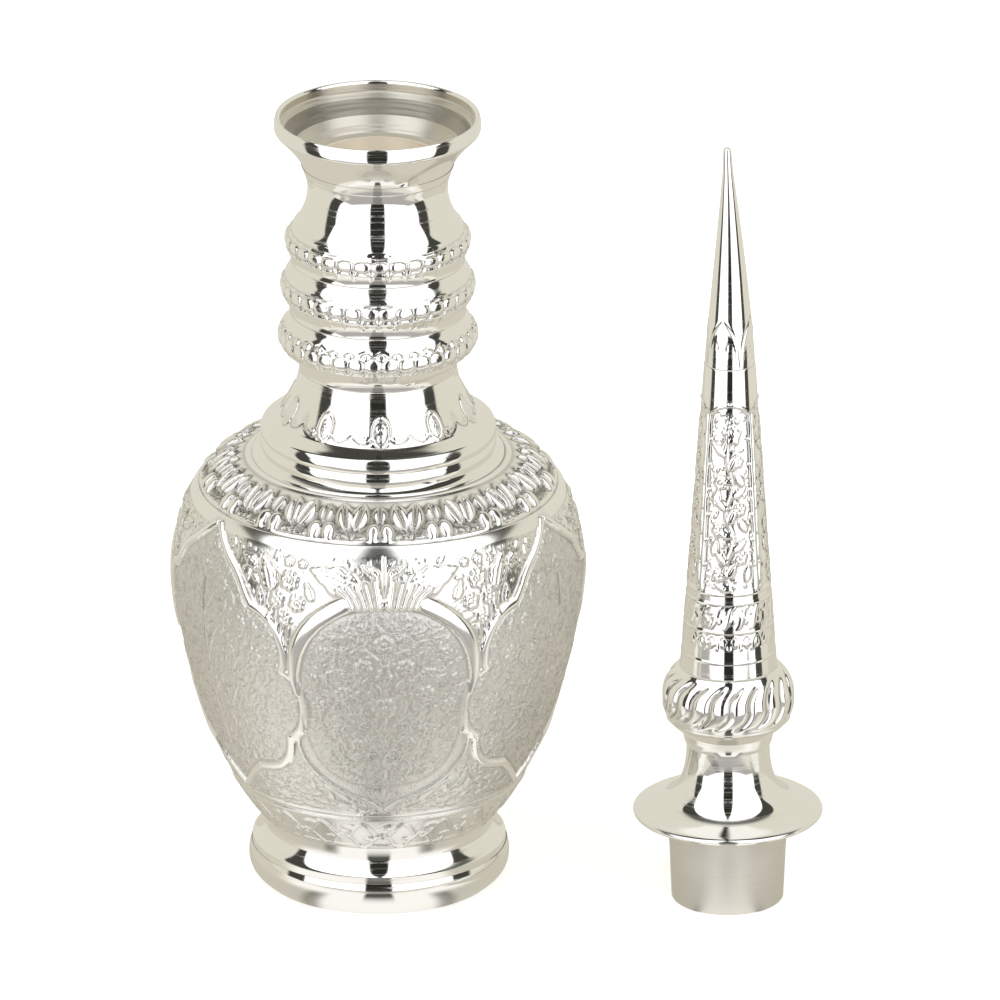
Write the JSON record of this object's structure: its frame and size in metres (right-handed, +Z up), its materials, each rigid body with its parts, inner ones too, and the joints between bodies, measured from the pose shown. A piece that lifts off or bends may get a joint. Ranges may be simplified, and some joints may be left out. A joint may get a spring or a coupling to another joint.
{
  "type": "decanter bottle with stopper",
  "caption": "Round-bellied chased silver decanter with a ringed neck and flared mouth, its tall tapering spire stopper standing beside it.",
  "frame": {"origin": "centre of the bottle's foot, on the table", "axes": "+Z up along the bottle's axis, +X towards the side where the stopper stands, -Y towards the viewer"},
  "size_m": [0.1627, 0.103, 0.2026],
  "materials": {
    "polished_silver": "bright polished silver",
    "chased_silver": "chased silver with a satin matted ground and bright raised lines",
    "embossed_silver": "polished silver with raised ornament",
    "inner_silver": "spun silver, slightly toned, with fine turning lines",
    "brushed_silver": "silver left from the lathe with fine level brushing"
  },
  "bodies": {
    "bottle": {"foot_roll": "polished_silver", "foot_skirt": "polished_silver", "foot_collar": "polished_silver", "base_disc": "inner_silver", "body_bowl": "chased_silver", "shoulder_dome": "embossed_silver", "neck_seat_ring": "polished_silver", "bell_bead": "polished_silver", "neck_bell": "embossed_silver", "neck_ring_lower": "embossed_silver", "neck_ring_middle": "embossed_silver", "neck_ring_upper": "embossed_silver", "plain_neck": "polished_silver", "lip_collar": "polished_silver", "throat_sleeve": "inner_silver", "mouth_dish": "inner_silver", "rim_band": "polished_silver"},
    "stopper": {"plug_end_disc": "brushed_silver", "plug_sleeve": "brushed_silver", "flange_plate": "brushed_silver", "flange_edge_wire": "polished_silver", "stopper_bell": "polished_silver", "waist_collar": "polished_silver", "knop_lower": "embossed_silver", "knop_upper": "embossed_silver", "spire_shaft": "embossed_silver", "spire_tip": "polished_silver", "finial_nib": "polished_silver"}
  },
  "joints": [
    {"name": "stopper_lift", "type": "slide", "parent": "bottle", "child": "stopper", "axis": [0, 0, 1], "range_m": [0, 0.215]}
  ]
}
